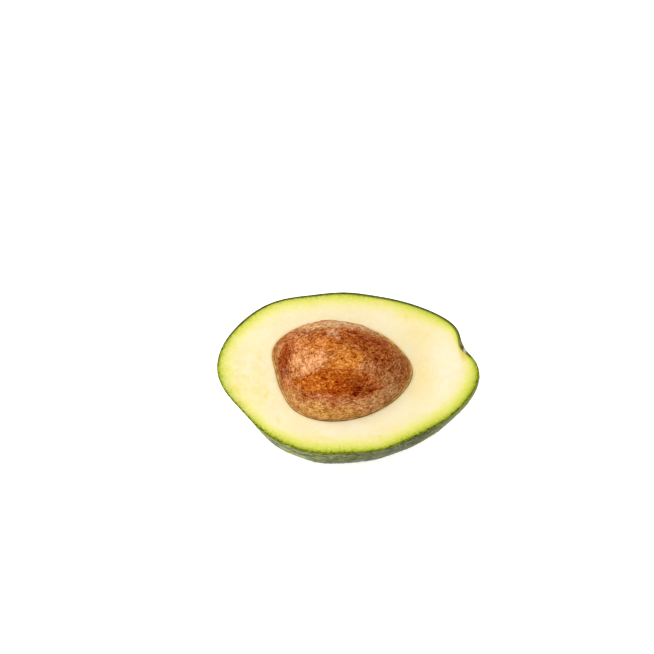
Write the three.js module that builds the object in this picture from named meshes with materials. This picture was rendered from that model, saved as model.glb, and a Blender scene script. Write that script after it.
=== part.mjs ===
import * as THREE from 'three';

// One half of an avocado, cut lengthwise, with its seed still in place. It lies on its round
// back with the cut face up. Lengths are in millimetres. +X runs from the blossom end to the
// stem end, +Z is up, the table is z = 0, and the origin is the middle of the small flat spot
// that the skin rests on.

// The cut face and the body under it.
const CUT_HEIGHT = 34.3;
const BODY_DEPTH = 34.8;
const HALF_LENGTH = 49.6;
const HALF_WIDTH = 35.0;
// How far the cut's outline stands off that ellipse, at even turns counter-clockwise from +X.
const OUTLINE_OFFSETS = [
  1.1, 0.9, -0.7, -1.3, -0.7, -0.6, 1.0, 0.1, -0.6, -2.8, -0.2, 1.2, 0.4, 0.2, -1.7, -0.9,
];
// How far the flanks swell at this height under the cut, at the same turns.
const SWELL_AT = 10;
const FLANK_SWELLS = [
  0.6, -0.3, 0.4, -0.3, 0.2, -0.4, 0.3, -0.6, 0.1, -1.2, 0.3, 0.4, 0.6, -0.3, 0.5, -0.3,
];
// The body narrows downwards, a little more at its ends and most at the stem end.
const TAPER = 0.06;
const TAPER_STEM_END = 0.06;
const TAPER_ENDS = 0.04;
// Its middle layers lean a little towards the stem end.
const LEAN = 0.098;
// The flat spot's middle is this far from the outline's middle.
const REST_X = 0.2;
const REST_Y = -0.1;

// The stem dimple, a dent in the rim and in the skin just under it.
const DIMPLE_TURN = 0.218;
const DIMPLE_HALF_TURN = 0.14;
const DIMPLE_DEPTH = 3.5;
const DIMPLE_HEIGHT = 6;

// The skin, its low bumps, and the space that neighbouring pieces keep.
const SKIN_THICKNESS = 0.9;
const BUMP_HEIGHT = 0.12;
const BUMP_SPACING = 12;
const BUMP_WAVES = 7;
const GAP = 0.3;

// The seed's outline at the cut, its height over the cut and its depth under it. Its widest
// place is sunk a little below the cut, so its sides already lean in where they leave the flesh.
const SEED_X = -3.0;
const SEED_Y = -0.8;
const SEED_HALF_LENGTH = 26.7;
const SEED_HALF_WIDTH = 22.1;
const SEED_OFFSETS = [
  1.6, -0.3, -1.0, -1.2, -1.0, -0.1, 0.9, 0.7, -3.0, -2.9, -0.8, -0.5, -1.0, -1.4, -1.4, -0.2,
];
const SEED_HEIGHT = 16.9;
const SEED_SINK = 4;
const SEED_DEPTH = 20;
// The papery coat ends in a narrow ledge round the seed, just above the cut.
const COAT_WIDTH = 1.1;
const COAT_TOP = 0.45;
const DENT_DEPTH = 0.2;

// The cut face has a rounded lip at the hollow and a shallow dish beside the seed's tip.
const LIP = 0.6;
const DISH_X = 27;
const DISH_DEPTH = 0.7;
const DISH_HALF_LENGTH = 5;
const DISH_HALF_WIDTH = 9;

const SIDES = 96;
const SEED_SIDES = 72;
const SKIN_RINGS = 20;
const INNER_RINGS = 15;
const HOLLOW_RINGS = 13;
const SEED_RINGS = 13;

const FULL_TURN = 2 * Math.PI;
const QUARTER_TURN = Math.PI / 2;
const GOLDEN_TURN = Math.PI * (3 - Math.sqrt(5));

const ellipseRadius = (turn, halfLength, halfWidth) =>
  1 / Math.hypot(Math.cos(turn) / halfLength, Math.sin(turn) / halfWidth);

// A smooth closed curve through values given at even turns.
const aroundCurve = (values, turn) => {
  const place = (turn / FULL_TURN) * values.length;
  const step = Math.floor(place);
  const part = place - step;
  const value = (k) => values[(step + k + 2 * values.length) % values.length];
  const slopeHere = (value(1) - value(-1)) / 2;
  const slopeNext = (value(2) - value(0)) / 2;
  const rise = value(1) - value(0);
  const square = 3 * rise - 2 * slopeHere - slopeNext;
  const cube = slopeHere + slopeNext - 2 * rise;
  return value(0) + part * (slopeHere + part * (square + part * cube));
};

const outlineRadius = (turn) =>
  ellipseRadius(turn, HALF_LENGTH, HALF_WIDTH) + aroundCurve(OUTLINE_OFFSETS, turn);

const dimpleDepth = (turn, down) => {
  const aside = THREE.MathUtils.euclideanModulo(turn - DIMPLE_TURN + Math.PI, FULL_TURN) - Math.PI;
  return DIMPLE_DEPTH * Math.exp(-((aside / DIMPLE_HALF_TURN) ** 2) - (down / DIMPLE_HEIGHT) ** 2);
};

// Low bumps of the skin, which die out at the cut and at the flat spot: a sum of waves that
// cross in all directions.
const bumpHeight = (point) => {
  let sum = 0;
  for (let i = 0; i < BUMP_WAVES; i += 1) {
    const rise = (2 * i + 1) / BUMP_WAVES - 1;
    const turn = i * GOLDEN_TURN;
    const flat = Math.sqrt(1 - rise * rise);
    const along = point.x * flat * Math.cos(turn) + point.y * flat * Math.sin(turn) + point.z * rise;
    sum += Math.sin((FULL_TURN * along) / BUMP_SPACING + 2 * i);
  }
  const atCut = THREE.MathUtils.smoothstep(CUT_HEIGHT - point.z, 0, 4);
  const atTable = THREE.MathUtils.smoothstep(point.z, 0.5, 5);
  return (BUMP_HEIGHT * sum * atCut * atTable) / Math.sqrt(BUMP_WAVES);
};

// A point of the body at a turn round it and a dip below the cut, where a dip of a quarter turn
// is the bottom. The last value says how far inside the skin's outer face the point lies.
const bodyPoint = (turn, dip, inside) => {
  const down = (BODY_DEPTH - inside) * Math.sin(dip);
  const taper = TAPER + TAPER_STEM_END * Math.cos(turn) + TAPER_ENDS * Math.cos(2 * turn);
  let reach = (outlineRadius(turn) - inside) * Math.cos(dip) * (1 - taper * Math.sin(dip) ** 2);
  const swell = (down / SWELL_AT) * Math.exp(1 - down / SWELL_AT);
  reach += aroundCurve(FLANK_SWELLS, turn) * swell * Math.cos(dip);
  reach -= dimpleDepth(turn, down);
  const x = reach * Math.cos(turn) + LEAN * down * Math.cos(dip);
  const y = reach * Math.sin(turn);
  const z = Math.max(CUT_HEIGHT - down, inside);
  return new THREE.Vector3(x, y, z);
};

const skinPoint = (turn, dip) => {
  const point = bodyPoint(turn, dip, 0);
  const bump = bumpHeight(point);
  const sideways = bump * Math.cos(dip);
  point.x += sideways * Math.cos(turn);
  point.y += sideways * Math.sin(turn);
  point.z -= bump * Math.sin(dip);
  return point;
};

const seedRim = (turn) =>
  ellipseRadius(turn, SEED_HALF_LENGTH, SEED_HALF_WIDTH) + aroundCurve(SEED_OFFSETS, turn);

// Shallow dents of the seed.
const dentDepth = (turn, lift) => {
  const broad = Math.sin(3 * turn + 2 * lift) * Math.sin(4 * lift + 1);
  return DENT_DEPTH * Math.cos(lift) * (broad + Math.sin(7 * turn - 3 * lift));
};

// The lift, up from the seed's widest place, at which its dome is this high over the cut.
const liftAt = (height) => Math.asin((SEED_SINK + height) / (SEED_SINK + SEED_HEIGHT));

// A point of the seed's dome at a turn round it and a lift, where a quarter turn is its top.
const domePoint = (turn, lift, outside) => {
  const reach = ((seedRim(turn) + outside) * Math.cos(lift)) / Math.cos(liftAt(0));
  const x = SEED_X + reach * Math.cos(turn);
  const y = SEED_Y + reach * Math.sin(turn);
  const z = CUT_HEIGHT - SEED_SINK + (SEED_SINK + SEED_HEIGHT) * Math.sin(lift);
  return new THREE.Vector3(x, y, z);
};

// A point of the seed's sunk part, or of the hollow that far outside it, at a dip below the cut.
const hollowPoint = (turn, dip, outside) => {
  const reach = (seedRim(turn) + outside) * Math.cos(dip);
  const x = SEED_X + reach * Math.cos(turn);
  const y = SEED_Y + reach * Math.sin(turn);
  return new THREE.Vector3(x, y, CUT_HEIGHT - (SEED_DEPTH + outside) * Math.sin(dip));
};

const ring = (sides, pointAt) => Array.from({ length: sides }, (_, i) => pointAt((i / sides) * FULL_TURN));

// A closed solid through rings of points, from a first pole to a last one. Each ring has the
// same number of points, counter-clockwise seen from above.
const solidThroughRings = (firstPole, rings, lastPole) => {
  const points = [firstPole, ...rings.flat(), lastPole];
  const sides = rings[0].length;
  const corner = (r, i) => 1 + r * sides + (i % sides);
  const faces = [];
  for (let i = 0; i < sides; i += 1) {
    faces.push(0, corner(0, i), corner(0, i + 1));
    for (let r = 0; r + 1 < rings.length; r += 1) {
      faces.push(corner(r, i), corner(r + 1, i), corner(r, i + 1));
      faces.push(corner(r, i + 1), corner(r + 1, i), corner(r + 1, i + 1));
    }
    faces.push(corner(rings.length - 1, i), points.length - 1, corner(rings.length - 1, i + 1));
  }
  const geometry = new THREE.BufferGeometry();
  geometry.setFromPoints(points);
  geometry.setIndex(faces);
  geometry.computeVertexNormals();
  return geometry;
};

const even = (count, from, to) =>
  Array.from({ length: count }, (_, i) => from + ((to - from) * i) / (count - 1));

const makeSkin = () => {
  const innerDips = even(INNER_RINGS, QUARTER_TURN * 0.955, 0);
  const outerDips = even(SKIN_RINGS, 0, Math.asin(CUT_HEIGHT / BODY_DEPTH));
  const rings = [];
  for (const dip of innerDips) {
    rings.push(ring(SIDES, (turn) => bodyPoint(turn, dip, SKIN_THICKNESS)));
  }
  for (const dip of outerDips) {
    rings.push(ring(SIDES, (turn) => skinPoint(turn, dip)));
  }
  const restSpot = new THREE.Vector3(REST_X, REST_Y, 0);
  return solidThroughRings(bodyPoint(0, QUARTER_TURN, SKIN_THICKNESS), rings, restSpot);
};

const makeFlesh = () => {
  const inside = SKIN_THICKNESS + GAP;
  const hollowDips = even(HOLLOW_RINGS, QUARTER_TURN * 0.93, 0.05);
  const rings = [];
  for (const dip of hollowDips) {
    rings.push(ring(SIDES, (turn) => hollowPoint(turn, dip, GAP)));
  }
  rings.push(ring(SIDES, (turn) => {
    const edge = hollowPoint(turn, 0, GAP + LIP * 0.3);
    edge.z -= LIP * 0.3;
    return edge;
  }));
  for (const across of [0, 0.2, 0.5, 1]) {
    rings.push(ring(SIDES, (turn) => {
      const lip = hollowPoint(turn, 0, GAP + LIP);
      const rim = bodyPoint(turn, 0, inside);
      const point = lip.lerp(rim, across);
      const alongDish = (point.x - DISH_X) / DISH_HALF_LENGTH;
      const acrossDish = (point.y - SEED_Y) / DISH_HALF_WIDTH;
      point.z -= DISH_DEPTH * Math.exp(-(alongDish ** 2) - acrossDish ** 2) * (1 - across);
      return point;
    }));
  }
  for (const dip of even(INNER_RINGS, 0, QUARTER_TURN * 0.955).slice(1)) {
    rings.push(ring(SIDES, (turn) => bodyPoint(turn, dip, inside)));
  }
  return solidThroughRings(hollowPoint(0, QUARTER_TURN, GAP), rings, bodyPoint(0, QUARTER_TURN, inside));
};

const makeSeed = () => {
  const rings = [];
  for (const lift of even(SEED_RINGS, QUARTER_TURN * 0.94, liftAt(COAT_TOP))) {
    rings.push(ring(SEED_SIDES, (turn) => domePoint(turn, lift, -COAT_WIDTH - dentDepth(turn, lift))));
  }
  for (const height of [COAT_TOP, 0]) {
    rings.push(ring(SEED_SIDES, (turn) => hollowPoint(turn, 0, 0).setZ(CUT_HEIGHT + height)));
  }
  for (const dip of even(SEED_RINGS, 0, QUARTER_TURN * 0.94).slice(1)) {
    rings.push(ring(SEED_SIDES, (turn) => hollowPoint(turn, dip, 0)));
  }
  return solidThroughRings(domePoint(0, QUARTER_TURN, 0), rings, hollowPoint(0, QUARTER_TURN, 0));
};

const piece = (name, geometry, colour, roughness) => {
  const material = new THREE.MeshStandardMaterial({ color: colour, roughness, metalness: 0 });
  const mesh = new THREE.Mesh(geometry, material);
  mesh.name = name;
  mesh.position.set(-REST_X, -REST_Y, 0);
  return mesh;
};

const avocado = new THREE.Group();
avocado.name = 'avocado_half';
avocado.add(piece('skin', makeSkin(), 0x45562a, 0.42));
avocado.add(piece('flesh', makeFlesh(), 0xf5e99a, 0.5));
avocado.add(piece('seed', makeSeed(), 0xa9602d, 0.5));

export default avocado;
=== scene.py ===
import math

import bpy
import numpy as np
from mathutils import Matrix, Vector, noise


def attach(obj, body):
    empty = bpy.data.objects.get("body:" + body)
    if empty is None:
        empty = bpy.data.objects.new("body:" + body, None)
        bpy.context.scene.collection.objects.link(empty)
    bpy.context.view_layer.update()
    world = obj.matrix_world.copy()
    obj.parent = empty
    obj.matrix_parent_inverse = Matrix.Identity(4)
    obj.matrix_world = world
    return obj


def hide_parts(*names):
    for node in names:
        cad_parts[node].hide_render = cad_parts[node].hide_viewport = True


# One half of an avocado with its seed, resting on its round back with the cut face up.
# The shape constants are in millimetres and the same as the solids'; the scene is in metres.

MM = 0.001

CUT_HEIGHT = 34.3
BODY_DEPTH = 34.8
HALF_LENGTH = 49.6
HALF_WIDTH = 35.0
OUTLINE_OFFSETS = [
    1.1, 0.9, -0.7, -1.3, -0.7, -0.6, 1.0, 0.1, -0.6, -2.8, -0.2, 1.2, 0.4, 0.2, -1.7, -0.9,
]
SWELL_AT = 10
FLANK_SWELLS = [
    0.6, -0.3, 0.4, -0.3, 0.2, -0.4, 0.3, -0.6, 0.1, -1.2, 0.3, 0.4, 0.6, -0.3, 0.5, -0.3,
]
TAPER = 0.06
TAPER_STEM_END = 0.06
TAPER_ENDS = 0.04
LEAN = 0.098
REST_X = 0.2
REST_Y = -0.1

DIMPLE_TURN = 0.218
DIMPLE_HALF_TURN = 0.14
DIMPLE_DEPTH = 3.5
DIMPLE_HEIGHT = 6

SKIN_THICKNESS = 0.9
BUMP_HEIGHT = 0.12
BUMP_SPACING = 12
BUMP_WAVES = 7

SEED_X = -3.0
SEED_Y = -0.8
SEED_HALF_LENGTH = 26.7
SEED_HALF_WIDTH = 22.1
SEED_OFFSETS = [
    1.6, -0.3, -1.0, -1.2, -1.0, -0.1, 0.9, 0.7, -3.0, -2.9, -0.8, -0.5, -1.0, -1.4, -1.4, -0.2,
]
SEED_HEIGHT = 16.9
SEED_SINK = 4
SEED_DEPTH = 20
COAT_WIDTH = 1.1
DENT_DEPTH = 0.2

LIP = 0.6
DISH_X = 27
DISH_DEPTH = 0.7
DISH_HALF_LENGTH = 5
DISH_HALF_WIDTH = 9

# Fine relief that only the scene has.
PEBBLE_SPACING = 1.7
PEBBLE_HEIGHT = 0.13
PEBBLE_MIDDLE = 0.6
FACE_WAVE = 0.1
SCAR_TURN = 0.19
SCAR_HALF_TURN = 0.07
SCAR_WIDTH = 0.6
VEIN_SPACING = 4.2
VEIN_HEIGHT = 0.16
WRINKLE_SPACING = 1.7
WRINKLE_HEIGHT = 0.14
GRAIN_SPACING = 0.9
GRAIN_HEIGHT = 0.09
LEDGE_LEAST = 0.2

# The gaps round the seed and between the flesh and the skin, which nearly touch in the scene.
SEED_GAP = 0.12
FLESH_GAP = 0.01

# The points round each piece, and the rings over its main surface and over its hidden ones.
SKIN_SIDES = 480
SKIN_RINGS = 110
SKIN_INSIDE_RINGS = 14
FLESH_SIDES = 400
FACE_RINGS = 44
FACE_RIM_RINGS = 22
FLESH_BACK_RINGS = 24
SEED_SIDES = 384
DOME_RINGS = 150
HOLLOW_RINGS = 26

# How near to its pole the last ring of a round end lies, as a share of a quarter turn.
NEAR_POLE = 0.97
HOLLOW_NEAR_POLE = 0.95
DOME_NEAR_POLE = 0.988

# A distance, in millimetres, for places that are far from the skin or from the seed.
FAR = 20.0

# The photograph is square, and the camera looks down on the cut face from the front.
FRAME_PIXELS = 654
FOCAL_PIXELS = 1950
SENSOR_WIDTH = 36
CAMERA_ELEVATION = 60
CAMERA_DISTANCE = 0.75
AIM_X = -7.4
AIM_Y = 18.7

# Each light's place and the side of its square, in metres, and its power in watts.
KEY_LIGHT = ((-0.35, 0.4, 0.85), 0.6, 4.0)
FILL_LIGHT = ((-0.6, -0.5, 0.5), 0.8, 1.2)
WORLD_LIGHT = 0.85
FLOOR_HALF_SIDE = 3.0

# How bright the light makes a white cut face, and how much the floor glows like a light table.
FACE_LIGHT = 1.15
FACE_WHITEST = 0.92
FLOOR_GLOW = 0.6

DISPLAY_GAMMA = 2.2
FULL_TURN = 2 * math.pi
QUARTER_TURN = math.pi / 2
GOLDEN_TURN = math.pi * (3 - math.sqrt(5))


def smooth_step(value, low, high):
    part = np.clip((value - low) / (high - low), 0, 1)
    return part * part * (3 - 2 * part)


def ellipse_radius(turn, half_length, half_width):
    return 1 / np.hypot(np.cos(turn) / half_length, np.sin(turn) / half_width)


def around_curve(values, turn):
    """A smooth closed curve through values given at even turns."""
    values = np.asarray(values)
    place = np.asarray(turn) / FULL_TURN * len(values)
    step = np.floor(place).astype(int)
    part = place - step
    before, here, after, beyond = (values[(step + k) % len(values)] for k in (-1, 0, 1, 2))
    slope_here = (after - before) / 2
    slope_next = (beyond - here) / 2
    rise = after - here
    square = 3 * rise - 2 * slope_here - slope_next
    cube = slope_here + slope_next - 2 * rise
    return here + part * (slope_here + part * (square + part * cube))


def outline_radius(turn):
    return ellipse_radius(turn, HALF_LENGTH, HALF_WIDTH) + around_curve(OUTLINE_OFFSETS, turn)


def hill(turn, middle, half_turn):
    """1 at the middle turn, falling smoothly to 0 on both sides of it."""
    aside = (turn - middle + math.pi) % FULL_TURN - math.pi
    return np.exp(-((aside / half_turn) ** 2))


def dimple_depth(turn, down):
    fading = np.exp(-((down / DIMPLE_HEIGHT) ** 2))
    return DIMPLE_DEPTH * hill(turn, DIMPLE_TURN, DIMPLE_HALF_TURN) * fading


def scar_depth(turn):
    """How much wider the skin's cut edge is in the stem dimple, where it is corky."""
    return SCAR_WIDTH * hill(turn, SCAR_TURN, SCAR_HALF_TURN)


def bump_height(points):
    total = 0
    for i in range(BUMP_WAVES):
        rise = (2 * i + 1) / BUMP_WAVES - 1
        turn = i * GOLDEN_TURN
        flat = math.sqrt(1 - rise * rise)
        along = points @ np.array([flat * math.cos(turn), flat * math.sin(turn), rise])
        total = total + np.sin(FULL_TURN * along / BUMP_SPACING + 2 * i)
    at_cut = smooth_step(CUT_HEIGHT - points[:, 2], 0, 4)
    at_table = smooth_step(points[:, 2], 0.5, 5)
    return BUMP_HEIGHT * total * at_cut * at_table / math.sqrt(BUMP_WAVES)


def body_points(turn, dip, inside):
    """Points of the body at turns round it and a dip below the cut, as rows of x, y, z."""
    down = (BODY_DEPTH - inside) * math.sin(dip)
    taper = TAPER + TAPER_STEM_END * np.cos(turn) + TAPER_ENDS * np.cos(2 * turn)
    reach = (outline_radius(turn) - inside) * math.cos(dip) * (1 - taper * math.sin(dip) ** 2)
    swell = down / SWELL_AT * np.exp(1 - down / SWELL_AT)
    reach = reach + around_curve(FLANK_SWELLS, turn) * swell * math.cos(dip)
    reach = reach - dimple_depth(turn, down)
    x = reach * np.cos(turn) + LEAN * down * math.cos(dip)
    y = reach * np.sin(turn)
    z = np.maximum(CUT_HEIGHT - down, inside) + np.zeros_like(x)
    return np.stack([x, y, z], axis=1)


def seed_rim(turn):
    return ellipse_radius(turn, SEED_HALF_LENGTH, SEED_HALF_WIDTH) + around_curve(SEED_OFFSETS, turn)


def dent_depth(turn, lift):
    slow = np.sin(3 * turn + 2 * lift) * math.sin(4 * lift + 1)
    return DENT_DEPTH * math.cos(lift) * (slow + np.sin(7 * turn - 3 * lift))


def lift_at(height):
    """The lift, up from the seed's widest place, at which its dome is this high over the cut."""
    return math.asin((SEED_SINK + height) / (SEED_SINK + SEED_HEIGHT))


def dome_points(turn, lift, outside):
    """Points of the seed's dome at turns round it and a lift, where a quarter turn is its top."""
    reach = (seed_rim(turn) + outside) * math.cos(lift) / math.cos(lift_at(0))
    x = SEED_X + reach * np.cos(turn)
    y = SEED_Y + reach * np.sin(turn)
    z = np.full_like(x, CUT_HEIGHT - SEED_SINK + (SEED_SINK + SEED_HEIGHT) * math.sin(lift))
    return np.stack([x, y, z], axis=1)


def hollow_points(turn, dip, outside):
    """Points of the seed's sunk part, or of the hollow that far outside it, at a dip below the cut."""
    reach = (seed_rim(turn) + outside) * math.cos(dip)
    x = SEED_X + reach * np.cos(turn)
    y = SEED_Y + reach * np.sin(turn)
    z = np.full_like(x, CUT_HEIGHT - (SEED_DEPTH + outside) * math.sin(dip))
    return np.stack([x, y, z], axis=1)


def seed_gap(turn):
    """The gap round the seed, which shows most at the front."""
    return SEED_GAP * (0.6 - 0.4 * np.sin(turn))


def turns(sides):
    return np.arange(sides) / sides * FULL_TURN


def noise_at(points, spacing, shift=0.0):
    """Smooth noise from about -1 to 1 at each point, with hills that far apart in millimetres."""
    offset = Vector((shift, 2 * shift, 3 * shift))
    return np.array([noise.noise(Vector(p) / spacing + offset) for p in points])


def ridged(points, spacing, shift):
    """Sharp crests of 1 between wider troughs down to about 0."""
    return 1 - np.abs(noise_at(points, spacing, shift)) * 2


def pebbles_at(points, spacing):
    """Rounded pebbles from 0 in their valleys to 1 on top."""
    nearest = np.array([noise.voronoi(Vector(p) / spacing)[0][:2] for p in points])
    return smooth_step(nearest[:, 1] - nearest[:, 0], 0, 0.55)


def closed_mesh(name, first_pole, rings, last_pole, attributes):
    """A smooth closed mesh through rings of points. Attributes give a number for each point."""
    sides = len(rings[0])
    count = len(rings)
    points = np.concatenate([[first_pole], *rings, [last_pole]])
    points[:, 0] -= REST_X
    points[:, 1] -= REST_Y
    along = np.arange(sides)
    onward = (along + 1) % sides
    faces = [(0, 1 + i, 1 + j) for i, j in zip(along.tolist(), onward.tolist())]
    for r in range(count - 1):
        here = 1 + r * sides
        below = here + sides
        quads = np.stack([here + along, below + along, below + onward, here + onward], axis=1)
        faces.extend(map(tuple, quads.tolist()))
    start = 1 + (count - 1) * sides
    last = len(points) - 1
    faces.extend((start + i, last, start + j) for i, j in zip(along.tolist(), onward.tolist()))
    mesh = bpy.data.meshes.new(name)
    mesh.from_pydata((points * MM).tolist(), [], faces)
    for key, values in attributes.items():
        layer = mesh.attributes.new(key, "FLOAT", "POINT")
        layer.data.foreach_set("value", np.asarray(values, np.float32))
    mesh.shade_smooth()
    piece = bpy.data.objects.new(name, mesh)
    bpy.context.scene.collection.objects.link(piece)
    return piece


def spread(first, rings, last):
    """One number per point of a closed mesh, from its poles' numbers and each ring's."""
    return np.concatenate([[first], *rings, [last]])


def pushed_out(points, dip, turn, distance):
    """Moves points of the body outwards by a distance each."""
    flat = math.cos(dip)
    down = np.full_like(turn, -math.sin(dip))
    direction = np.stack([flat * np.cos(turn), flat * np.sin(turn), down], axis=1)
    return points + direction * distance[:, None]


def make_skin():
    turn = turns(SKIN_SIDES)
    zeros = np.zeros(SKIN_SIDES)
    plain = np.full(SKIN_SIDES, 0.5)
    rings = []
    edges = []
    pebbles = []
    from_flesh = []
    # The side against the flesh, up to the cut.
    for dip in np.linspace(QUARTER_TURN * NEAR_POLE, 0, SKIN_INSIDE_RINGS):
        inside = SKIN_THICKNESS + (scar_depth(turn) if dip == 0 else 0)
        rings.append(body_points(turn, dip, inside))
        edges.append(zeros)
        pebbles.append(plain)
        from_flesh.append(zeros)
    edges[-1] = zeros + 1
    # The cut edge, rounded at the outside: how far in from there and how far down each ring is.
    for inside, lower in ((0.7, 0.0), (0.4, 0.0), (0.18, 0.03), (0.05, 0.12)):
        ring = body_points(turn, 0, inside * (1 + scar_depth(turn) * 0.6))
        ring[:, 2] -= lower
        rings.append(ring)
        edges.append(zeros + 1)
        pebbles.append(plain)
        from_flesh.append(zeros + SKIN_THICKNESS - inside)
    # The pebbled outside, with closer rings just under the cut.
    flat_dip = math.asin(CUT_HEIGHT / BODY_DEPTH)
    for dip in np.concatenate([[0.008, 0.016, 0.026], np.linspace(0.038, flat_dip, SKIN_RINGS)]):
        ring = body_points(turn, dip, 0)
        down = BODY_DEPTH * math.sin(dip)
        at_cut = float(smooth_step(down, 0.1, 1.5))
        at_table = float(smooth_step(CUT_HEIGHT - down, 0.1, 1.2))
        pebble = pebbles_at(ring, PEBBLE_SPACING)
        height = bump_height(ring) + PEBBLE_HEIGHT * (pebble - PEBBLE_MIDDLE) * at_cut * at_table
        rings.append(pushed_out(ring, dip, turn, height))
        edges.append(zeros + 1 - float(smooth_step(down, 0.0, 0.5)))
        pebbles.append(pebble)
        from_flesh.append(zeros + SKIN_THICKNESS)
    first = body_points(turn[:1], QUARTER_TURN, SKIN_THICKNESS)[0]
    last = np.array([REST_X, REST_Y, 0.0])
    return closed_mesh(
        "avocado_skin", first, rings, last,
        {
            "cut_edge": spread(0, edges, 0),
            "pebble": spread(0.5, pebbles, 0.5),
            "from_flesh": spread(0, from_flesh, SKIN_THICKNESS),
        },
    )


def make_flesh():
    turn = turns(FLESH_SIDES)
    inside = SKIN_THICKNESS + FLESH_GAP
    far = np.full(FLESH_SIDES, FAR)
    near = np.zeros(FLESH_SIDES)
    rings = []
    from_skin = []
    from_seed = []
    # The hollow, up to its rounded lip: how far out and how much lower each ring of the lip is.
    for dip in np.linspace(QUARTER_TURN * HOLLOW_NEAR_POLE, 0.06, HOLLOW_RINGS):
        rings.append(hollow_points(turn, dip, seed_gap(turn)))
        from_skin.append(far)
        from_seed.append(near)
    for out, lower in ((0.03, 0.3), (0.1, 0.12), (0.25, 0.04)):
        ring = hollow_points(turn, 0, seed_gap(turn) + out)
        ring[:, 2] -= lower
        rings.append(ring)
        from_skin.append(far)
        from_seed.append(near)
    # The cut face, with its shallow dish and faint waves, and closer rings near the skin.
    lip = hollow_points(turn, 0, seed_gap(turn) + LIP)
    rim = body_points(turn, 0, inside + scar_depth(turn))
    width = np.linalg.norm(rim - lip, axis=1)
    for across in np.concatenate([np.linspace(0, 0.8, FACE_RINGS), np.linspace(0.82, 1, FACE_RIM_RINGS)]):
        ring = lip + (rim - lip) * across
        dish_x = (ring[:, 0] - DISH_X) / DISH_HALF_LENGTH
        dish_y = (ring[:, 1] - SEED_Y) / DISH_HALF_WIDTH
        ring[:, 2] -= DISH_DEPTH * np.exp(-(dish_x**2 + dish_y**2)) * (1 - across)
        wave = noise_at(ring, 9) + 0.4 * noise_at(ring, 3.2, 5)
        ring[:, 2] += FACE_WAVE * wave * math.sin(math.pi * min(across + 0.15, 1))
        rings.append(ring)
        from_skin.append(width * (1 - across))
        from_seed.append(LIP + width * across)
    # The side against the skin, down from the cut.
    for dip in np.linspace(0, QUARTER_TURN * NEAR_POLE, FLESH_BACK_RINGS)[1:]:
        rings.append(body_points(turn, dip, inside))
        from_skin.append(near)
        from_seed.append(far)
    first = hollow_points(turn[:1], QUARTER_TURN, SEED_GAP)[0]
    last = body_points(turn[:1], QUARTER_TURN, inside)[0]
    return closed_mesh(
        "avocado_flesh", first, rings, last,
        {"from_skin": spread(FAR, from_skin, 0), "from_seed": spread(0, from_seed, FAR)},
    )


def ledge_width(turn):
    """The ledge is widest at both ends of the seed and at its back right, with a ragged edge."""
    ends = 0.9 * np.cos(turn) ** 4
    back_right = 0.6 * np.exp(-(((turn - 0.75) / 0.35) ** 2))
    left = 0.35 * np.exp(-(((turn - 2.9) / 0.35) ** 2))
    width = COAT_WIDTH * (0.3 + ends + back_right - left)
    foot = hollow_points(turn, 0, 0)
    width += 0.4 * noise_at(foot, 8, 9) + 0.3 * noise_at(foot, 2.2, 4)
    return np.maximum(width, LEDGE_LEAST)


def make_seed():
    turn = turns(SEED_SIDES)
    plain = np.full(SEED_SIDES, 0.5)
    middle = np.array([SEED_X, SEED_Y, CUT_HEIGHT - SEED_SINK])
    ledge = ledge_width(turn)
    rings = []
    coat = []
    relief = []
    # The dome, from its top to its foot on the ledge.
    for lift in np.linspace(QUARTER_TURN * DOME_NEAR_POLE, lift_at(0.1), DOME_RINGS):
        ring = dome_points(turn, lift, -ledge - dent_depth(turn, lift))
        warp = np.stack([noise_at(ring, 4, k) for k in (1, 2, 3)], axis=1)
        veins = ridged(ring + 1.8 * warp, VEIN_SPACING, 4)
        wrinkles = ridged(ring + warp, WRINKLE_SPACING, 7)
        grain = noise_at(ring, GRAIN_SPACING, 11)
        height = VEIN_HEIGHT * (veins - 0.5) + WRINKLE_HEIGHT * (wrinkles - 0.5) + GRAIN_HEIGHT * grain
        above = float(smooth_step(lift, lift_at(0.1), lift_at(1.6)))
        outward = ring - middle
        outward = outward / np.linalg.norm(outward, axis=1)[:, None]
        rings.append(ring + outward * (height * above)[:, None])
        coat.append(np.full(SEED_SIDES, 1 - float(smooth_step(lift, lift_at(0.1), lift_at(1.8)))))
        relief.append(0.5 * veins + 0.5 * wrinkles)
    # Across the ledge: a crease at the dome's foot, a low crest and the edge against the flesh.
    wave = noise_at(hollow_points(turn, 0, 0), 3, 3)
    ledge_rows = ((0.06, 0.04), (0.18, 0.06), (0.38, 0.2), (0.62, 0.26), (0.85, 0.2), (1, 0.05), (1, -0.4))
    for across, height in ledge_rows:
        ring = hollow_points(turn, 0, -ledge * (1 - across))
        ring[:, 2] += height * (1 + 0.5 * wave)
        rings.append(ring)
        coat.append(np.full(SEED_SIDES, 1 + across))
        relief.append(plain)
    # The part sunk in the flesh.
    for dip in np.linspace(0.06, QUARTER_TURN * NEAR_POLE, HOLLOW_RINGS):
        rings.append(hollow_points(turn, dip, 0))
        coat.append(np.full(SEED_SIDES, 2))
        relief.append(plain)
    first = dome_points(turn[:1], QUARTER_TURN, 0)[0]
    last = hollow_points(turn[:1], QUARTER_TURN, 0)[0]
    return closed_mesh(
        "avocado_seed", first, rings, last,
        {"coat": spread(0, coat, 2), "relief": spread(0.5, relief, 0.5)},
    )


def linear(red, green, blue):
    """A display colour of 0 to 255 as the shader's colour."""
    def channel(value):
        value = value / 255
        return value / 12.92 if value <= 0.04045 else ((value + 0.055) / 1.055) ** 2.4
    return (channel(red), channel(green), channel(blue), 1.0)


def face_colour(red, green, blue):
    """A display colour as it looks on the cut face, as the shader's colour under that light."""
    channels = linear(red, green, blue)[:3]
    return (*(min(channel / FACE_LIGHT, FACE_WHITEST) for channel in channels), 1.0)


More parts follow.
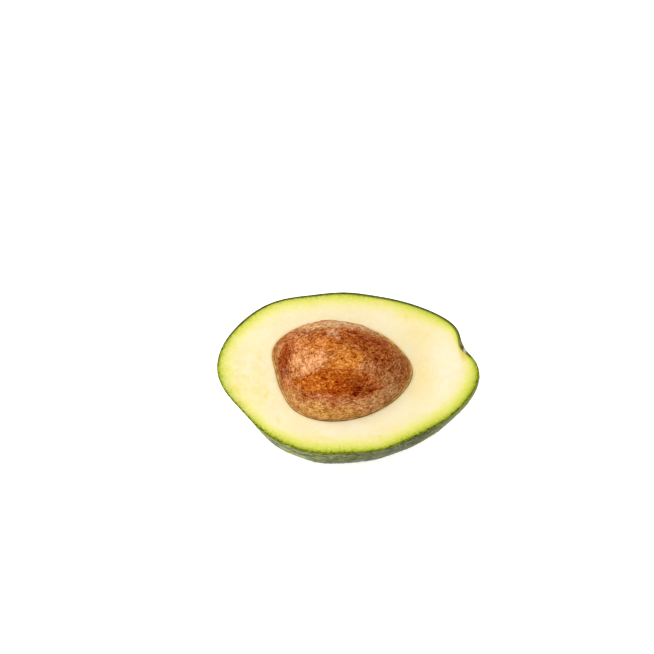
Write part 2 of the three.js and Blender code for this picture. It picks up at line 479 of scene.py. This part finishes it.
class Shader:
    """Builds one material's nodes. A socket's value is a number, a colour or another output."""

    def __init__(self, name):
        self.material = bpy.data.materials.new(name)
        self.material.use_nodes = True
        self.tree = self.material.node_tree
        self.tree.nodes.clear()
        self.surface = self.add("ShaderNodeBsdfPrincipled")
        output = self.add("ShaderNodeOutputMaterial")
        self.tree.links.new(self.surface.outputs["BSDF"], output.inputs["Surface"])
        self.place = self.add("ShaderNodeTexCoord").outputs["Object"]
        split = self.add("ShaderNodeSeparateXYZ")
        self.put(split, 0, self.place)
        self.x, self.y, self.z = split.outputs

    def add(self, kind, **settings):
        node = self.tree.nodes.new(kind)
        for key, value in settings.items():
            setattr(node, key, value)
        return node

    def put(self, node, socket, value):
        if isinstance(value, bpy.types.NodeSocket):
            self.tree.links.new(value, node.inputs[socket])
        else:
            node.inputs[socket].default_value = value

    def set(self, **sockets):
        for key, value in sockets.items():
            self.put(self.surface, key.replace("_", " "), value)

    def attribute(self, name):
        return self.add("ShaderNodeAttribute", attribute_name=name).outputs["Fac"]

    def math(self, operation, a, b=0.0):
        node = self.add("ShaderNodeMath", operation=operation)
        self.put(node, 0, a)
        self.put(node, 1, b)
        return node.outputs[0]

    def plus(self, a, b):
        return self.math("ADD", a, b)

    def times(self, a, b):
        return self.math("MULTIPLY", a, b)

    def vector(self, operation, a, b):
        node = self.add("ShaderNodeVectorMath", operation=operation)
        self.put(node, 0, a)
        self.put(node, 1, b)
        return node.outputs[0]

    def noise(self, size_mm, detail=3.0, roughness=0.5, distortion=0.0, place=None, output="Fac"):
        node = self.add("ShaderNodeTexNoise")
        self.put(node, "Vector", place or self.place)
        self.put(node, "Scale", 1 / (size_mm * MM))
        self.put(node, "Detail", detail)
        self.put(node, "Roughness", roughness)
        self.put(node, "Distortion", distortion)
        return node.outputs[output]

    def cells(self, size_mm):
        """The distance to the nearest of many scattered places, about that far apart."""
        node = self.add("ShaderNodeTexVoronoi")
        self.put(node, "Vector", self.place)
        self.put(node, "Scale", 1 / (size_mm * MM))
        return node.outputs["Distance"]

    def remap(self, value, from_low, from_high, to_low=0.0, to_high=1.0):
        node = self.add("ShaderNodeMapRange", clamp=True)
        for i, number in enumerate((value, from_low, from_high, to_low, to_high)):
            self.put(node, i, number)
        return node.outputs["Result"]

    def along(self, axis, from_mm, to_mm, low=0.0, high=1.0):
        """The low value up to one place along an axis and the high one beyond another."""
        return self.remap(axis, from_mm * MM, to_mm * MM, low, high)

    def ramp(self, value, stops):
        node = self.add("ShaderNodeValToRGB")
        elements = node.color_ramp.elements
        while len(elements) < len(stops):
            elements.new(0.5)
        for element, (place, colour) in zip(elements, stops):
            element.position = place
            element.color = colour
        self.put(node, "Fac", value)
        return node.outputs["Color"]

    def mix(self, amount, a, b, blend="MIX"):
        node = self.add("ShaderNodeMix", data_type="RGBA", blend_type=blend)
        self.put(node, 0, amount)
        self.put(node, 6, a)
        self.put(node, 7, b)
        return node.outputs[2]

    def brighten(self, colour, factor):
        node = self.add("ShaderNodeHueSaturation")
        self.put(node, "Color", colour)
        self.put(node, "Value", factor)
        return node.outputs["Color"]

    def power(self, colour, exponent):
        node = self.add("ShaderNodeGamma")
        self.put(node, 0, colour)
        self.put(node, 1, exponent)
        return node.outputs[0]

    def toned(self, colour, tone):
        """The colour made lighter or darker by the tone, by the same step in each display channel."""
        shown = self.vector("ADD", self.power(colour, 1 / DISPLAY_GAMMA), tone)
        return self.power(self.vector("MAXIMUM", shown, (0, 0, 0)), DISPLAY_GAMMA)

    def bump(self, height, distance_mm, strength):
        node = self.add("ShaderNodeBump")
        self.put(node, "Height", height)
        self.put(node, "Distance", distance_mm * MM)
        self.put(node, "Strength", strength)
        return node.outputs["Normal"]

    def warped(self, size_mm, reach_mm):
        """Places moved about by noise, for ragged borders."""
        centred = self.vector("SUBTRACT", self.noise(size_mm, output="Color"), (0.5, 0.5, 0.5))
        reach = reach_mm * MM * 4
        return self.vector("ADD", self.place, self.vector("MULTIPLY", centred, (reach, reach, reach)))

    def lines(self, size_mm, distortion, width, low, high, place=None):
        """Thin wandering lines of the low value on a ground of the high one."""
        wander = self.noise(size_mm, detail=1, distortion=distortion, place=place)
        off = self.math("ABSOLUTE", self.math("SUBTRACT", wander, 0.5))
        return self.remap(off, 0, width, low, high)

    def ball(self, x, y, z, radius_mm, stretch=(1, 1, 1), place=None):
        """1 at a place given in millimetres, falling to 0 at the radius times the stretch."""
        away = self.vector("SUBTRACT", place or self.place, (x * MM, y * MM, z * MM))
        share = self.vector("MULTIPLY", away, tuple(1 / (radius_mm * MM * s) for s in stretch))
        length = self.add("ShaderNodeVectorMath", operation="LENGTH")
        self.put(length, 0, share)
        return self.remap(length.outputs["Value"], 1, 0)

    def spot(self, x, y, radius_mm, stretch=(1, 1, 1), place=None):
        """A ball with its middle on the cut face."""
        return self.ball(x, y, CUT_HEIGHT, radius_mm, stretch, place)


def skin_material():
    s = Shader("avocado_skin")
    front = s.along(s.y, -4, -20)
    to_back = s.along(s.y, 0, 20)
    # A mottled green, deep on the hidden sides and lighter and greyer at the front, where the lighter grey
    # is painted sheen and painted bounce light from the floor.
    mottle = s.noise(9, detail=5, roughness=0.6)
    deep = s.ramp(mottle, [(0.34, linear(36, 54, 6)), (0.5, linear(52, 72, 12)), (0.66, linear(74, 92, 24))])
    front_sheen_green = s.ramp(mottle, [(0.34, linear(42, 54, 6)), (0.5, linear(66, 74, 14)), (0.66, linear(94, 98, 44))])
    base = s.mix(front, deep, front_sheen_green)
    grain = s.noise(1.6, detail=4, roughness=0.6)
    base = s.mix(s.remap(grain, 0.5, 0.66, 0, 0.6), base, linear(122, 122, 70))
    base = s.mix(s.remap(grain, 0.5, 0.34, 0, 0.7), base, linear(26, 36, 12))
    # The pebbles' tops are painted lighter and their valleys darker, as painted highlights and painted
    # shade, most of all away from the front.
    pebble = s.remap(s.attribute("pebble"), 0, 1, -0.09, 0.05)
    base = s.toned(base, s.times(pebble, s.remap(front, 0, 1, 1, 0.5)))
    # Faint streaks run round the front.
    lengthwise = s.vector("MULTIPLY", s.place, (0.35, 0.35, 1.3))
    streaks = s.noise(1.6, detail=3, roughness=0.6, place=lengthwise)
    base = s.mix(s.times(s.remap(streaks, 0.5, 0.64, 0, 0.5), front), base, linear(140, 140, 104))
    base = s.mix(s.times(s.remap(streaks, 0.48, 0.34, 0, 0.5), front), base, linear(34, 44, 14))
    # The skin is painted lightest at the front left, as painted light from that side, and darker towards the
    # stem end as painted shade; it is also yellower there.
    base = s.brighten(base, s.along(s.x, -22, 2, s.remap(front, 0, 1, 1.1, 2.15), 1.1))
    base = s.brighten(base, s.along(s.x, 0, 25, 1, 0.82))
    base = s.mix(s.along(s.x, 0, 40, 0, 0.6), base, (1, 1, 0.2, 1), "MULTIPLY")
    # Just under the rim at the front of the stem end it is olive and dull.
    olive = s.times(s.along(s.x, 30, 45), s.along(s.z, 22, 32))
    olive = s.times(olive, s.along(s.y, 8, 0))
    base = s.mix(s.times(olive, s.remap(grain, 0.35, 0.65, 0.3, 0.85)), base, linear(134, 138, 60))
    # Small pale dots are scattered all over.
    dots = s.remap(s.cells(2.3), 0.1, 0.2, 1, 0)
    base = s.mix(s.times(dots, 0.5), base, linear(168, 166, 112))
    # The cut edge is darker at the back, a painted shade where the rim is in shadow, and ragged teeth of
    # yellow reach into it from the flesh.
    edge = s.attribute("cut_edge")
    edge_dark = s.mix(to_back, linear(74, 88, 2), linear(34, 38, 0))
    edge_light = s.mix(to_back, linear(118, 132, 14), linear(70, 74, 6))
    edge_colour = s.mix(s.remap(s.noise(1.4, detail=4), 0.4, 0.6), edge_dark, edge_light)
    teeth = s.times(s.math("SUBTRACT", s.noise(0.9, roughness=0.7), 0.5), 2.4)
    teeth = s.times(teeth, s.along(s.x, 0, 30, 1, 0.5))
    inner = s.remap(s.plus(s.attribute("from_flesh"), teeth), 0.45, 0.15)
    inner = s.times(inner, s.remap(to_back, 0, 1, 0.8, 0.2))
    edge_colour = s.mix(inner, edge_colour, linear(186, 196, 44))
    base = s.mix(edge, base, edge_colour)
    # Corky bark lines the stem dimple, with the pale scar of the stem in it.
    bark = s.remap(s.spot(45.6, 9.4, 5, (0.9, 1.3, 1)), 0.1, 0.5)
    base = s.mix(bark, base, s.mix(s.remap(grain, 0.4, 0.6), linear(84, 72, 34), linear(124, 112, 70)))
    stem = s.remap(s.spot(45.2, 8.2, 2.0, (0.35, 1, 1)), 0.05, 0.5)
    base = s.mix(stem, base, linear(176, 168, 142))
    s.set(Base_Color=base)
    # A faint waxy shine, fainter at the front, on the cut edge and where it is olive.
    shine = s.times(s.remap(edge, 0, 1, 1, 0.2), s.remap(olive, 0, 1, 1, 0.1))
    s.set(Specular_IOR_Level=s.times(shine, s.remap(front, 0, 1, 0.3, 0.12)))
    s.set(Coat_Weight=s.times(shine, s.remap(front, 0, 1, 0.1, 0.02)), Coat_Roughness=0.3)
    s.set(Roughness=s.remap(grain, 0.3, 0.7, 0.4, 0.58), Normal=s.bump(grain, 0.1, 0.8))
    return s.material


# The flesh's display colours from the skin inwards, at shares of the green zone's depth.
GREEN_DEPTH = 10
FLESH_COLOURS = (
    (0.0, (150, 162, 24)), (0.02, (170, 180, 36)), (0.055, (191, 200, 52)), (0.12, (213, 217, 72)),
    (0.22, (231, 229, 107)), (0.35, (242, 235, 141)), (0.5, (248, 237, 170)), (0.66, (251, 238, 189)),
    (1.0, (253, 239, 195)),
)

# Where the green zone is wider or narrower: the place on the cut face, and by how much.
GREEN_WIDTHS = (
    (43, 9, -0.9), (30, 26, 0.5), (2, 34, 0.25), (30, -24, 0.2), (-30, -24, -0.25), (-47, -12, 0.5),
    (44, 18, -0.15),
)
GREEN_REACH = 15

# Short ochre flecks in the flesh: the place, the size, and the length as a share of the width.
FLECKS = (
    (-40, 1, 2.0, 0.9), (-35.7, -2.6, 2.0, 1.5), (-33.2, 5.2, 1.8, 0.7), (-30.3, -10.5, 2.6, 0.22),
    (-25.5, -21.8, 2.0, 0.6), (24, 23, 4.4, 2), (12.5, 29.8, 3.2, 2.4), (30, 15, 2.2, 2),
    (10.5, -28.6, 4.2, 5), (-9, -29, 3.2, 5),
)


def flesh_material():
    s = Shader("avocado_flesh")
    from_skin = s.attribute("from_skin")
    from_seed = s.attribute("from_seed")
    # The green zone along the rim, wider towards the stem end, with a wavy and ragged border.
    wide = s.along(s.x, 20, 46, 0, 0.25)
    for x, y, more in GREEN_WIDTHS:
        wide = s.plus(wide, s.times(s.spot(x, y, GREEN_REACH), more))
    depth = s.math("DIVIDE", from_skin, s.plus(wide, 1.0))
    wobble = s.times(s.math("SUBTRACT", s.noise(8), 0.5), 1.8)
    wobble = s.times(wobble, s.remap(depth, 0, 3, 0.1, 1))
    teeth = s.math("SUBTRACT", s.noise(1.1, roughness=0.7), 0.44)
    teeth = s.times(teeth, s.remap(depth, 0.5, 4, 3.6, 2))
    teeth = s.times(teeth, s.along(s.x, 0, 30, 1, 0.45))
    zone = s.math("DIVIDE", s.plus(s.plus(depth, wobble), teeth), GREEN_DEPTH)
    base = s.ramp(zone, [(share, face_colour(*colour)) for share, colour in FLESH_COLOURS])
    # Broad clouds of deeper and paler yellow inside the green zone.
    cloud = s.noise(13, detail=4, roughness=0.55)
    inner = s.remap(depth, 3, 6)
    base = s.mix(s.times(s.remap(cloud, 0.5, 0.72, 0, 0.45), inner), base, face_colour(251, 230, 172))
    base = s.mix(s.times(s.remap(cloud, 0.46, 0.3, 0, 0.45), inner), base, face_colour(255, 245, 212))
    tint = s.times(s.spot(-38, -1, 13, (0.8, 1.3, 1)), s.remap(s.noise(4), 0.42, 0.6))
    base = s.mix(s.times(tint, 1.1), base, face_colour(249, 228, 156))
    # Butter-yellow and pale patches: the place, the size, the stretch, the plain or the ragged
    # border, the display colour and the strength.
    plain = s.place
    ragged = s.warped(4, 0.8)
    patches = (
        (44.6, 9.4, 4.5, (0.5, 1.5, 1), plain, (222, 200, 76), 1.3),
        # Partly a butter-yellow tone of the flesh and partly painted shade in the shallow dish by the seed's
        # tip.
        (28.5, -3, 11, (0.7, 1.5, 1), plain, (252, 230, 164), 1.0),
        (27, 15, 12, (1.1, 0.8, 1), plain, (250, 230, 162), 0.7),
        # A painted highlight on the raised lip at the left of the seed.
        (-28, -7, 7, (0.45, 1.6, 1), ragged, (255, 247, 212), 0.8),
        (-34, -10, 10, (0.9, 1.3, 1), ragged, (250, 236, 166), 0.9),
        (-34, 9, 8, (1, 1, 1), ragged, (251, 235, 176), 0.6),
        (38, 0, 10, (0.7, 1.5, 1), plain, (255, 243, 208), 1.0),
    )
    for x, y, size, stretch, place, colour, strength in patches:
        patch = s.spot(x, y, size, stretch, place)
        base = s.mix(s.times(patch, strength), base, face_colour(*colour))
    bent = s.warped(2.5, 0.7)
    smudge = s.times(s.remap(s.noise(2.4), 0.25, 0.6), 0.8)
    for x, y, size, length in FLECKS:
        longer = math.sqrt(length)
        fleck = s.spot(x, y, size, (longer, 1 / longer, 1), bent)
        base = s.mix(s.times(fleck, smudge), base, face_colour(246, 226, 122))
    # Thin fibres at the left of the seed.
    wander = s.noise(3.6, detail=1, distortion=1.4)
    strands = s.times(s.remap(wander, 0.475, 0.5), s.remap(wander, 0.525, 0.5))
    strands = s.times(strands, s.times(s.spot(-35, -5, 11, (0.8, 1.3, 1)), 0.7))
    base = s.mix(strands, base, face_colour(244, 224, 140))
    # Faint rings that the knife left round the seed.
    rings = s.math("SINE", s.plus(s.times(from_seed, 2.6), s.times(wander, 26)))
    faint = s.times(s.remap(cloud, 0.42, 0.6), 0.25)
    base = s.mix(s.times(s.remap(rings, 0.2, 1), faint), base, face_colour(240, 222, 150))
    # Faint mottling all over, strongest at the left, more of a change of hue than of lightness.
    mottle = s.remap(s.noise(3.2, detail=5, roughness=0.6, distortion=0.6), 0.35, 0.65, -0.016, 0.016)
    more = s.remap(s.spot(-36, -4, 16), 0, 0.5, 1, 1.8)
    base = s.toned(base, s.vector("MULTIPLY", s.times(mottle, more), (0.25, 0.6, 1.9)))
    # Along the back the green is painted darkest in a thin line against the skin, a painted shade where the
    # back rim is in shadow.
    line = s.times(s.remap(from_skin, 0.55, 0.15), s.along(s.y, 0, 15))
    line = s.times(line, s.along(s.x, -30, 10, 0.2, 0.75))
    base = s.mix(line, base, face_colour(92, 102, 6))
    # The lip round the seed is painted a little darker and browner, a painted shade where the seed meets the
    # flesh.
    base = s.mix(s.times(s.remap(from_seed, 1.3, 0.2), 0.4), base, face_colour(232, 204, 140))
    s.set(Base_Color=base)
    s.set(Roughness=s.remap(s.noise(2.5, detail=4), 0.3, 0.7, 0.45, 0.62))
    s.set(Normal=s.bump(s.noise(0.8, detail=4, roughness=0.6), 0.05, 0.5))
    s.set(Subsurface_Weight=0.2, Subsurface_Radius=(1.0, 0.75, 0.3), Subsurface_Scale=1.2 * MM)
    s.set(Specular_IOR_Level=0.3, Coat_Weight=0.05, Coat_Roughness=0.25)
    return s.material


# Broad zones of colour over the seed's dome, a few of them painted light as marked: the place and the size,
# the stretch along each axis, the display colour and the strength. Each is laid over the ones before it.
SEED_ZONES = (
    # A painted highlight: the pinkish peach where the light falls on the dome's upper left.
    ((-14, -3, 48), 10.5, (1.15, 0.8, 1), (234, 164, 108), 1.5),
    ((-11.5, 2.5, 50), 10, (1.3, 0.6, 1), (208, 126, 58), 1.2),
    ((-4, 2, 51), 6, (1.3, 0.8, 1), (204, 116, 32), 1.3),
    ((1, -5.5, 50), 9, (1.3, 0.6, 1), (212, 128, 42), 1.6),
    ((5, 5, 49), 11, (1.6, 0.6, 1), (150, 66, 0), 1.7),
    ((14, -1.5, 47), 9, (1, 1.1, 1), (142, 64, 4), 1.6),
    ((8.5, -6.5, 48), 5, (1.2, 0.8, 1), (188, 120, 72), 1.4),
    ((-8, -17.5, 41), 8, (2.4, 0.4, 1), (196, 120, 72), 1.4),
    ((-5, -20.5, 36.5), 9, (2.4, 0.45, 1), (216, 156, 80), 1.7),
    # Painted light: a lighter tan that lifts the shade on the steep lower left flank.
    ((-21, -13, 36.5), 7, (1, 1, 1), (214, 152, 88), 1.6),
    ((-22, -8.5, 38), 5, (0.8, 1, 1), (192, 118, 66), 1.5),
    # Painted light: a lighter tan that lifts the shade on the steep lower left flank.
    ((-15.5, -17.5, 37), 5, (1.2, 0.8, 1), (214, 152, 84), 1.2),
    ((11, -15.5, 39.5), 9, (1.5, 0.7, 1.2), (194, 136, 84), 1.8),
    ((17, -9, 41.5), 7, (1, 1, 1.2), (174, 116, 66), 1.5),
    ((18.5, -11.5, 36.5), 6, (1, 1, 1), (186, 134, 84), 1.5),
    ((10.5, -12, 44), 5, (1, 0.8, 1), (174, 102, 54), 1.3),
    ((20, -2.5, 41), 6, (0.7, 1.6, 1.2), (156, 90, 42), 1.7),
    ((-0.5, -12.8, 47), 12, (1.5, 0.5, 1), (178, 80, 0), 2.0),
    ((5, -13, 45.5), 7, (1, 0.6, 1), (136, 54, 0), 1.7),
    ((-12, -11.5, 46.5), 9, (1.6, 0.45, 1), (190, 98, 16), 1.5),
    ((-23.5, 3, 42), 6, (0.8, 1.1, 1), (150, 58, 0), 2.0),
    ((-17, 9.5, 45.5), 7, (1.6, 0.5, 1), (170, 102, 54), 1.5),
    ((-24, 6.5, 39.5), 4, (1, 1, 1), (204, 148, 84), 1.5),
    ((-25, 1, 39.5), 4.5, (0.8, 1.2, 1.2), (146, 58, 6), 1.8),
    ((-24.3, -3.6, 38.6), 3.8, (1, 0.9, 1.2), (150, 80, 54), 1.8),
    # A painted reflection: pale haze of glancing light along the top of the dome.
    ((-10, 13, 46), 7, (1.9, 0.55, 1), (216, 166, 112), 1.8),
    # A painted reflection: pale haze of glancing light along the top of the dome.
    ((0, 14, 45), 7, (2.0, 0.55, 1), (196, 150, 104), 1.8),
    ((-5, 7, 49.5), 3.5, (1, 1, 1), (210, 158, 112), 1.3),
    # A painted reflection: pale haze of glancing light along the top of the dome, at its right.
    ((11, 12, 42.5), 7, (1.9, 0.5, 1), (182, 138, 86), 1.6),
)
ZONE_STRONGEST = 0.85


def seed_material():
    s = Shader("avocado_seed")
    broad = s.noise(9, detail=4, roughness=0.6, distortion=0.4)
    mottle = s.noise(2.6, detail=4, roughness=0.65, distortion=0.8)
    # The wrinkles are drawn out along the seed and round its flanks.
    lengthwise = s.vector("MULTIPLY", s.place, (0.6, 0.95, 1.7))
    fine = s.noise(2.0, detail=5, roughness=0.68, distortion=1.6, place=lengthwise)
    tiny = s.noise(0.95, roughness=0.75, distortion=0.8, place=lengthwise)
    base = s.ramp(s.plus(s.times(broad, 0.4), s.times(mottle, 0.6)), [
        (0.4, face_colour(156, 76, 20)), (0.5, face_colour(174, 96, 36)), (0.62, face_colour(192, 118, 58)),
    ])
    ragged = s.remap(mottle, 0.35, 0.65, 0.4, 1.3)
    about = s.warped(5, 2.2)
    for middle, size, stretch, colour, strength in SEED_ZONES:
        zone = s.times(s.ball(*middle, size, stretch, about), s.times(ragged, strength))
        base = s.mix(s.math("MINIMUM", zone, ZONE_STRONGEST), base, face_colour(*colour))
    # Folds near the foot, grain, cracks and veins lighten and darken whatever colour is there.
    height = s.math("SUBTRACT", s.z, CUT_HEIGHT * MM)
    folds = s.math("SINE", s.plus(s.times(height, 8 / MM), s.times(s.noise(5, detail=2), 30)))
    swirls = s.math("SINE", s.times(s.noise(6, detail=1, distortion=0.5), 80))
    tones = (
        s.times(folds, s.along(height, 3, 9, 0.045, 0)),
        s.remap(fine, 0.36, 0.62, -0.025, 0.055),
        s.remap(tiny, 0.34, 0.64, -0.07, 0.07),
        s.remap(s.attribute("relief"), 0.15, 0.95, -0.04, 0.04),
        s.lines(2.4, 0.9, 0.06, -0.17, 0.02, lengthwise),
        s.lines(1.4, 0.6, 0.06, -0.09, 0.02),
        s.lines(1.8, 1.2, 0.05, 0.13, -0.03, lengthwise),
        s.times(swirls, 0.03),
    )
    tone = 0.0
    for more in tones:
        tone = s.plus(tone, more)
    base = s.toned(base, tone)
    # The papery ledge is tan with faint stripes. The coat attribute says where it is: it rises
    # from 0 on the dome to 1 at the dome's foot and 2 at the flesh.
    coat = s.attribute("coat")
    pale_tan = face_colour(228, 182, 106)
    tan = s.mix(s.remap(s.noise(3, detail=4), 0.4, 0.6), face_colour(192, 132, 62), pale_tan)
    tan = s.brighten(tan, s.along(s.x, 0, 20, 1, 0.85))
    shown = s.remap(s.plus(coat, s.times(fine, 0.9)), 0.6, 1.5)
    base = s.mix(s.times(shown, s.remap(mottle, 0.35, 0.55, 0.35, 1)), base, tan)
    stripes = s.math("SINE", s.plus(s.times(coat, 18), s.times(s.noise(4), 25)))
    base = s.toned(base, s.times(stripes, s.remap(coat, 0.3, 1.2, 0, 0.09)))
    # It has two broken lines of painted shade: a crease in the groove at the dome's foot that shows most at
    # the back, and a rim against the flesh that is darkest at the front, painted as the gap's shadow.
    front = s.along(s.y, -6, -18)
    broken = s.remap(s.noise(3.5), 0.42, 0.58, 0.15, 1)
    crease = s.times(s.remap(coat, 0.9, 1.0), s.remap(coat, 1.4, 1.1))
    crease = s.times(crease, s.remap(front, 0, 1, 0.65, 0.3))
    base = s.mix(s.times(crease, broken), base, face_colour(120, 62, 18))
    rim_shadow_strength = s.times(front, s.along(s.x, -18, -8, 0.3, 1))
    rim = s.times(s.remap(coat, 1.85, 2.0), s.remap(rim_shadow_strength, 0, 1, 0.5, 1))
    rim_colour = s.mix(rim_shadow_strength, face_colour(196, 152, 84), face_colour(104, 66, 20))
    base = s.mix(s.times(rim, broken), base, rim_colour)
    s.set(Base_Color=base, Specular_IOR_Level=0.03)
    s.set(Roughness=s.remap(fine, 0.3, 0.7, 0.45, 0.65), Normal=s.bump(fine, 0.14, 0.8))
    return s.material


def floor_material():
    s = Shader("floor")
    s.set(Base_Color=(0.9, 0.9, 0.9, 1), Roughness=0.9)
    s.set(Emission_Color=(1, 1, 1, 1), Emission_Strength=FLOOR_GLOW)
    return s.material


def make_light(name, place, size, power):
    """A square light that shines on the middle of the cut face."""
    light = bpy.data.lights.new(name, "AREA")
    light.shape = "SQUARE"
    light.size = size
    light.energy = power
    lamp = bpy.data.objects.new(name, light)
    lamp.location = place
    aim = Vector((0, 0, CUT_HEIGHT * MM))
    lamp.rotation_euler = (aim - Vector(place)).to_track_quat("-Z", "Y").to_euler()
    bpy.context.scene.collection.objects.link(lamp)


def make_stage():
    mesh = bpy.data.meshes.new("floor")
    far = FLOOR_HALF_SIDE
    mesh.from_pydata([(-far, -far, 0), (far, -far, 0), (far, far, 0), (-far, far, 0)], [], [(0, 1, 2, 3)])
    floor = bpy.data.objects.new("floor", mesh)
    floor.data.materials.append(floor_material())
    bpy.context.scene.collection.objects.link(floor)
    world = bpy.data.worlds.new("studio")
    world.use_nodes = True
    background = world.node_tree.nodes["Background"]
    background.inputs["Color"].default_value = (1, 1, 1, 1)
    background.inputs["Strength"].default_value = WORLD_LIGHT
    bpy.context.scene.world = world
    make_light("key", *KEY_LIGHT)
    make_light("fill", *FILL_LIGHT)


def make_camera():
    camera = bpy.data.cameras.new("camera")
    camera.sensor_width = SENSOR_WIDTH
    camera.lens = SENSOR_WIDTH * FOCAL_PIXELS / FRAME_PIXELS
    holder = bpy.data.objects.new("camera", camera)
    elevation = math.radians(CAMERA_ELEVATION)
    aim = Vector((AIM_X * MM, AIM_Y * MM, CUT_HEIGHT * MM))
    back = Vector((0, -math.cos(elevation), math.sin(elevation)))
    holder.location = aim + back * CAMERA_DISTANCE
    holder.rotation_euler = (-back).to_track_quat("-Z", "Y").to_euler()
    bpy.context.scene.collection.objects.link(holder)
    bpy.context.scene.camera = holder


def finish_piece(piece, material, node):
    piece.data.materials.append(material)
    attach(piece, "root")
    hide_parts(node)


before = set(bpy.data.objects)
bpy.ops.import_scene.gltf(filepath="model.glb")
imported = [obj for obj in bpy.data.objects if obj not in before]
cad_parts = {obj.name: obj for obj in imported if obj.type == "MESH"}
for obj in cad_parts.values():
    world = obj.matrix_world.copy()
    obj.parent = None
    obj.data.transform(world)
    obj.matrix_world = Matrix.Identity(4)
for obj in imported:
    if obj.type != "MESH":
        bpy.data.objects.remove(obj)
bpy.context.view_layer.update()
bpy.context.scene.view_settings.view_transform = "Standard"
make_camera()
make_stage()
finish_piece(make_skin(), skin_material(), "skin")
finish_piece(make_flesh(), flesh_material(), "flesh")
finish_piece(make_seed(), seed_material(), "seed")
